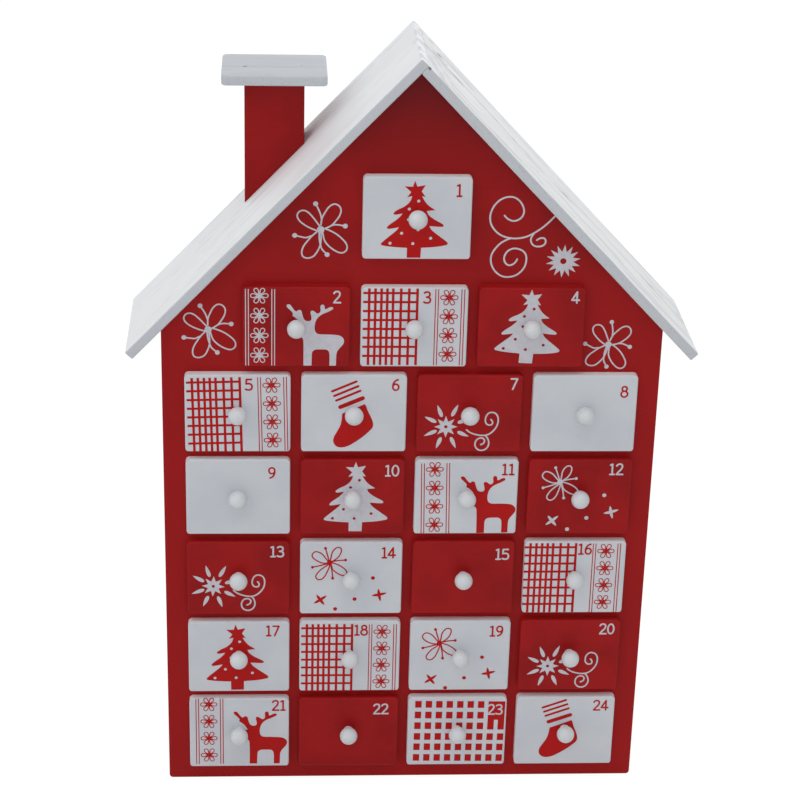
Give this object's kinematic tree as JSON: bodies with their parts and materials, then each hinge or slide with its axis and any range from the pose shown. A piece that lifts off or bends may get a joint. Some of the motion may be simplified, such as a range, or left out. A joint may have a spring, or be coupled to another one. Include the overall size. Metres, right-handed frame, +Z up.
{
  "type": "advent calendar",
  "caption": "House-shaped wooden advent calendar with a pitched roof, a chimney and rows of small pull-out drawers with ball knobs.",
  "frame": {"origin": "centre of the underside of the base board, on the surface that the house stands on", "axes": "+Z up, +Y from the front to the back, +X to the right of someone who faces the drawers"},
  "size_m": [0.308, 0.0922, 0.4335],
  "materials": {
    "red_paint": "matt red paint on wood",
    "white_paint": "thin matt white paint on wood, the grain shows",
    "red_drawer": "matt red paint with white print on the front, bare plywood tray",
    "white_drawer": "matt white paint with red print on the front, bare plywood tray",
    "knob_white": "white painted turned ball",
    "bare_wood": "bare light plywood"
  },
  "bodies": {
    "house": {"front_panel": "red_paint", "back_panel": "bare_wood", "left_wall": "red_paint", "right_wall": "red_paint", "base_board": "bare_wood", "shelves": "bare_wood", "grid_dividers": "bare_wood", "attic_dividers": "bare_wood", "left_roof_board": "white_paint", "right_roof_board": "white_paint", "chimney_stack": "red_paint", "chimney_cap": "white_paint"},
    "drawer_01": {"drawer_01": "white_drawer", "knob_01": "knob_white"},
    "drawer_02": {"drawer_02": "red_drawer", "knob_02": "knob_white"},
    "drawer_03": {"drawer_03": "white_drawer", "knob_03": "knob_white"},
    "drawer_04": {"drawer_04": "red_drawer", "knob_04": "knob_white"},
    "drawer_05": {"drawer_05": "white_drawer", "knob_05": "knob_white"},
    "drawer_06": {"drawer_06": "white_drawer", "knob_06": "knob_white"},
    "drawer_07": {"drawer_07": "red_drawer", "knob_07": "knob_white"},
    "drawer_08": {"drawer_08": "white_drawer", "knob_08": "knob_white"},
    "drawer_09": {"drawer_09": "white_drawer", "knob_09": "knob_white"},
    "drawer_10": {"drawer_10": "red_drawer", "knob_10": "knob_white"},
    "drawer_11": {"drawer_11": "white_drawer", "knob_11": "knob_white"},
    "drawer_12": {"drawer_12": "red_drawer", "knob_12": "knob_white"},
    "drawer_13": {"drawer_13": "red_drawer", "knob_13": "knob_white"},
    "drawer_14": {"drawer_14": "white_drawer", "knob_14": "knob_white"},
    "drawer_15": {"drawer_15": "red_drawer", "knob_15": "knob_white"},
    "drawer_16": {"drawer_16": "white_drawer", "knob_16": "knob_white"},
    "drawer_17": {"drawer_17": "white_drawer", "knob_17": "knob_white"},
    "drawer_18": {"drawer_18": "white_drawer", "knob_18": "knob_white"},
    "drawer_19": {"drawer_19": "white_drawer", "knob_19": "knob_white"},
    "drawer_20": {"drawer_20": "red_drawer", "knob_20": "knob_white"},
    "drawer_21": {"drawer_21": "white_drawer", "knob_21": "knob_white"},
    "drawer_22": {"drawer_22": "red_drawer", "knob_22": "knob_white"},
    "drawer_23": {"drawer_23": "white_drawer", "knob_23": "knob_white"},
    "drawer_24": {"drawer_24": "white_drawer", "knob_24": "knob_white"}
  },
  "joints": [
    {"name": "drawer_01_pull", "type": "slide", "parent": "house", "child": "drawer_01", "axis": [0, -1, 0], "range_m": [0, 0.058]},
    {"name": "drawer_02_pull", "type": "slide", "parent": "house", "child": "drawer_02", "axis": [0, -1, 0], "range_m": [0, 0.058]},
    {"name": "drawer_03_pull", "type": "slide", "parent": "house", "child": "drawer_03", "axis": [0, -1, 0], "range_m": [0, 0.058]},
    {"name": "drawer_04_pull", "type": "slide", "parent": "house", "child": "drawer_04", "axis": [0, -1, 0], "range_m": [0, 0.058]},
    {"name": "drawer_05_pull", "type": "slide", "parent": "house", "child": "drawer_05", "axis": [0, -1, 0], "range_m": [0, 0.058]},
    {"name": "drawer_06_pull", "type": "slide", "parent": "house", "child": "drawer_06", "axis": [0, -1, 0], "range_m": [0, 0.058]},
    {"name": "drawer_07_pull", "type": "slide", "parent": "house", "child": "drawer_07", "axis": [0, -1, 0], "range_m": [0, 0.058]},
    {"name": "drawer_08_pull", "type": "slide", "parent": "house", "child": "drawer_08", "axis": [0, -1, 0], "range_m": [0, 0.058]},
    {"name": "drawer_09_pull", "type": "slide", "parent": "house", "child": "drawer_09", "axis": [0, -1, 0], "range_m": [0, 0.058]},
    {"name": "drawer_10_pull", "type": "slide", "parent": "house", "child": "drawer_10", "axis": [0, -1, 0], "range_m": [0, 0.058]},
    {"name": "drawer_11_pull", "type": "slide", "parent": "house", "child": "drawer_11", "axis": [0, -1, 0], "range_m": [0, 0.058]},
    {"name": "drawer_12_pull", "type": "slide", "parent": "house", "child": "drawer_12", "axis": [0, -1, 0], "range_m": [0, 0.058]},
    {"name": "drawer_13_pull", "type": "slide", "parent": "house", "child": "drawer_13", "axis": [0, -1, 0], "range_m": [0, 0.058]},
    {"name": "drawer_14_pull", "type": "slide", "parent": "house", "child": "drawer_14", "axis": [0, -1, 0], "range_m": [0, 0.058]},
    {"name": "drawer_15_pull", "type": "slide", "parent": "house", "child": "drawer_15", "axis": [0, -1, 0], "range_m": [0, 0.058]},
    {"name": "drawer_16_pull", "type": "slide", "parent": "house", "child": "drawer_16", "axis": [0, -1, 0], "range_m": [0, 0.058]},
    {"name": "drawer_17_pull", "type": "slide", "parent": "house", "child": "drawer_17", "axis": [0, -1, 0], "range_m": [0, 0.058]},
    {"name": "drawer_18_pull", "type": "slide", "parent": "house", "child": "drawer_18", "axis": [0, -1, 0], "range_m": [0, 0.058]},
    {"name": "drawer_19_pull", "type": "slide", "parent": "house", "child": "drawer_19", "axis": [0, -1, 0], "range_m": [0, 0.058]},
    {"name": "drawer_20_pull", "type": "slide", "parent": "house", "child": "drawer_20", "axis": [0, -1, 0], "range_m": [0, 0.058]},
    {"name": "drawer_21_pull", "type": "slide", "parent": "house", "child": "drawer_21", "axis": [0, -1, 0], "range_m": [0, 0.058]},
    {"name": "drawer_22_pull", "type": "slide", "parent": "house", "child": "drawer_22", "axis": [0, -1, 0], "range_m": [0, 0.058]},
    {"name": "drawer_23_pull", "type": "slide", "parent": "house", "child": "drawer_23", "axis": [0, -1, 0], "range_m": [0, 0.058]},
    {"name": "drawer_24_pull", "type": "slide", "parent": "house", "child": "drawer_24", "axis": [0, -1, 0], "range_m": [0, 0.058]}
  ]
}
